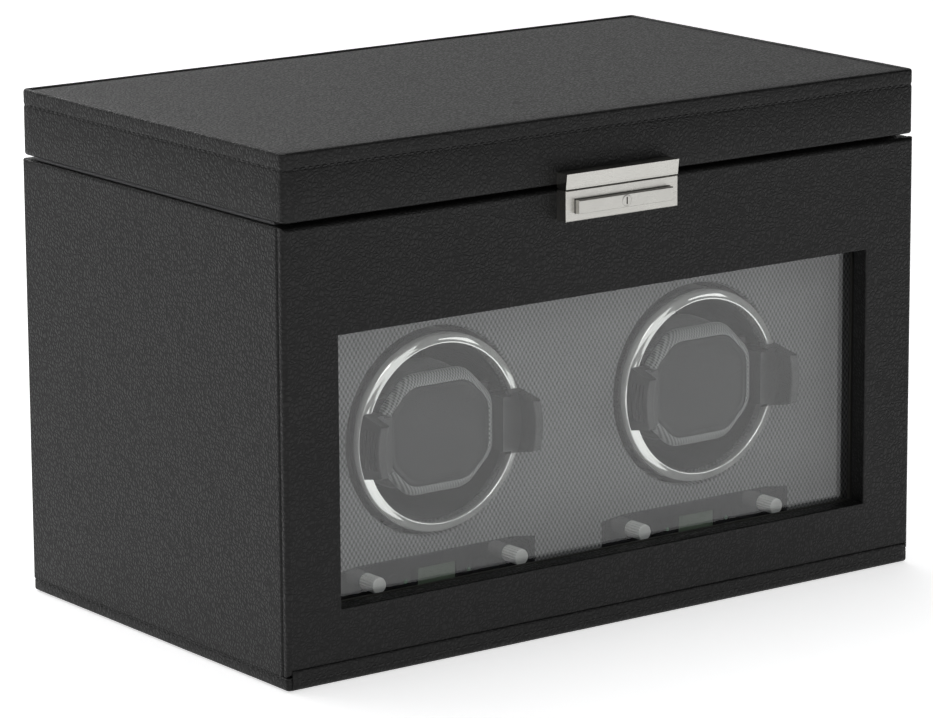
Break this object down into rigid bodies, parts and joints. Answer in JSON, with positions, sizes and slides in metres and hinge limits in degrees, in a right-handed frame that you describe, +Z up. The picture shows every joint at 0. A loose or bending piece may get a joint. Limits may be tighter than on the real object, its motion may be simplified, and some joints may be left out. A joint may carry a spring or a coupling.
{
  "type": "watch winder box",
  "caption": "Twin watch winder in a stitched leather-covered box: glazed drop-down door, turning drums with cuffs, control panels, lidded storage tray and latch.",
  "frame": {"origin": "under the middle of the case, on the surface it stands on", "axes": "+X to the right seen from the front, +Y to the back, +Z up"},
  "size_m": [0.339, 0.2146, 0.226],
  "materials": {
    "black_leather": "pebble grain, satin",
    "pad_leather": "smooth, stitched",
    "grey_woven": "fine diamond weave",
    "lining_fabric": "brushed",
    "board_wood": "dark painted board",
    "clear_glass": "clear",
    "chrome": "polished",
    "satin_steel": "fine satin",
    "black_plastic": "moulded",
    "gloss_black": "piano gloss",
    "display_green": "unlit liquid crystal",
    "circuit_green": "solder mask",
    "bush_bronze": "sintered",
    "belt_rubber": "moulded"
  },
  "bodies": {
    "root": {"back_panel": "black_leather", "base_board": "black_leather", "base_felt": "lining_fabric", "circuit_board_left": "circuit_green", "circuit_board_right": "circuit_green", "control_panel_left": "gloss_black", "control_panel_right": "gloss_black", "dc_inlet": "black_plastic", "display_left": "display_green", "display_right": "display_green", "door_hinge_strip": "black_leather", "drive_belt_left": "belt_rubber", "drive_belt_right": "belt_rubber", "fascia_board": "grey_woven", "gear_motor_left": "satin_steel", "gear_motor_right": "satin_steel", "lid_hinge_body_leaves": "satin_steel", "lid_hinge_pins": "satin_steel", "mechanism_bulkhead": "board_wood", "motor_screws": "satin_steel", "shaft_bushes": "bush_bronze", "side_panel_left": "black_leather", "side_panel_right": "black_leather", "storage_deck": "board_wood", "tray_lining": "lining_fabric"},
    "door": {"door_frame": "black_leather", "door_glass": "clear_glass", "glass_bead": "board_wood", "lock_plate": "satin_steel"},
    "lid": {"lid_frame": "black_leather", "lid_top_panel": "black_leather", "lid_lining": "lining_fabric", "lid_hinge_lid_leaves": "satin_steel", "lock_hasp": "satin_steel"},
    "push_bar": {"push_bar": "satin_steel"},
    "key_cylinder": {"key_cylinder": "satin_steel"},
    "drum_left": {"drum_left": "black_plastic", "drum_ring_left": "chrome", "cuff_core_left": "black_plastic", "cuff_pad_left": "pad_leather", "cuff_pillow_left": "grey_woven", "drum_shaft_left": "satin_steel", "driven_pulley_left": "black_plastic"},
    "motor_pulley_left": {"motor_pulley_left": "black_plastic"},
    "knob_left_outer": {"knob_left_outer": "chrome"},
    "button_left_outer": {"button_left_outer": "gloss_black"},
    "knob_left_inner": {"knob_left_inner": "chrome"},
    "button_left_inner": {"button_left_inner": "gloss_black"},
    "drum_right": {"drum_right": "black_plastic", "drum_ring_right": "chrome", "cuff_core_right": "black_plastic", "cuff_pad_right": "pad_leather", "cuff_pillow_right": "grey_woven", "drum_shaft_right": "satin_steel", "driven_pulley_right": "black_plastic"},
    "motor_pulley_right": {"motor_pulley_right": "black_plastic"},
    "knob_right_outer": {"knob_right_outer": "chrome"},
    "button_right_outer": {"button_right_outer": "gloss_black"},
    "knob_right_inner": {"knob_right_inner": "chrome"},
    "button_right_inner": {"button_right_inner": "gloss_black"}
  },
  "joints": [
    {"name": "lid_hinge", "type": "hinge", "parent": "root", "child": "lid", "pos_m": [0, 0.1025, 0.1961], "axis": [-1, 0, 0], "range_deg": [0, 100]},
    {"name": "door_hinge", "type": "hinge", "parent": "root", "child": "door", "pos_m": [0, -0.1005, 0.0065], "axis": [1, 0, 0], "range_deg": [0, 88]},
    {"name": "push_bar_slide", "type": "slide", "parent": "door", "child": "push_bar", "axis": [0, 1, 0], "range_m": [0, 0.0015], "stiffness_N_per_m": 400, "springref_m": -0.002},
    {"name": "key_turn", "type": "hinge", "parent": "push_bar", "child": "key_cylinder", "pos_m": [0, -0.107, 0.1883], "axis": [0, 1, 0], "range_deg": [0, 90]},
    {"name": "drum_left_spin", "type": "hinge", "parent": "root", "child": "drum_left", "pos_m": [-0.07125, 0, 0.091], "axis": [0, 1, 0], "continuous": true},
    {"name": "motor_left_spin", "type": "hinge", "parent": "root", "child": "motor_pulley_left", "pos_m": [-0.07125, 0, 0.03], "axis": [0, 1, 0], "continuous": true},
    {"name": "knob_left_outer_turn", "type": "hinge", "parent": "root", "child": "knob_left_outer", "pos_m": [-0.10875, -0.07, 0.0315], "axis": [0, -1, 0], "continuous": true},
    {"name": "button_left_outer_press", "type": "slide", "parent": "root", "child": "button_left_outer", "axis": [0, 1, 0], "range_m": [0, 0.0005], "stiffness_N_per_m": 600, "springref_m": -0.001},
    {"name": "knob_left_inner_turn", "type": "hinge", "parent": "root", "child": "knob_left_inner", "pos_m": [-0.03375, -0.07, 0.0315], "axis": [0, -1, 0], "continuous": true},
    {"name": "button_left_inner_press", "type": "slide", "parent": "root", "child": "button_left_inner", "axis": [0, 1, 0], "range_m": [0, 0.0005], "stiffness_N_per_m": 600, "springref_m": -0.001},
    {"name": "drum_right_spin", "type": "hinge", "parent": "root", "child": "drum_right", "pos_m": [0.07125, 0, 0.091], "axis": [0, 1, 0], "continuous": true},
    {"name": "motor_right_spin", "type": "hinge", "parent": "root", "child": "motor_pulley_right", "pos_m": [0.07125, 0, 0.03], "axis": [0, 1, 0], "continuous": true},
    {"name": "knob_right_outer_turn", "type": "hinge", "parent": "root", "child": "knob_right_outer", "pos_m": [0.10875, -0.07, 0.0315], "axis": [0, -1, 0], "continuous": true},
    {"name": "button_right_outer_press", "type": "slide", "parent": "root", "child": "button_right_outer", "axis": [0, 1, 0], "range_m": [0, 0.0005], "stiffness_N_per_m": 600, "springref_m": -0.001},
    {"name": "knob_right_inner_turn", "type": "hinge", "parent": "root", "child": "knob_right_inner", "pos_m": [0.03375, -0.07, 0.0315], "axis": [0, -1, 0], "continuous": true},
    {"name": "button_right_inner_press", "type": "slide", "parent": "root", "child": "button_right_inner", "axis": [0, 1, 0], "range_m": [0, 0.0005], "stiffness_N_per_m": 600, "springref_m": -0.001}
  ],
  "couplings": [
    {"joint": "motor_left_spin", "follows": "drum_left_spin", "ratio": 4.0769},
    {"joint": "motor_right_spin", "follows": "drum_right_spin", "ratio": 4.0769}
  ]
}
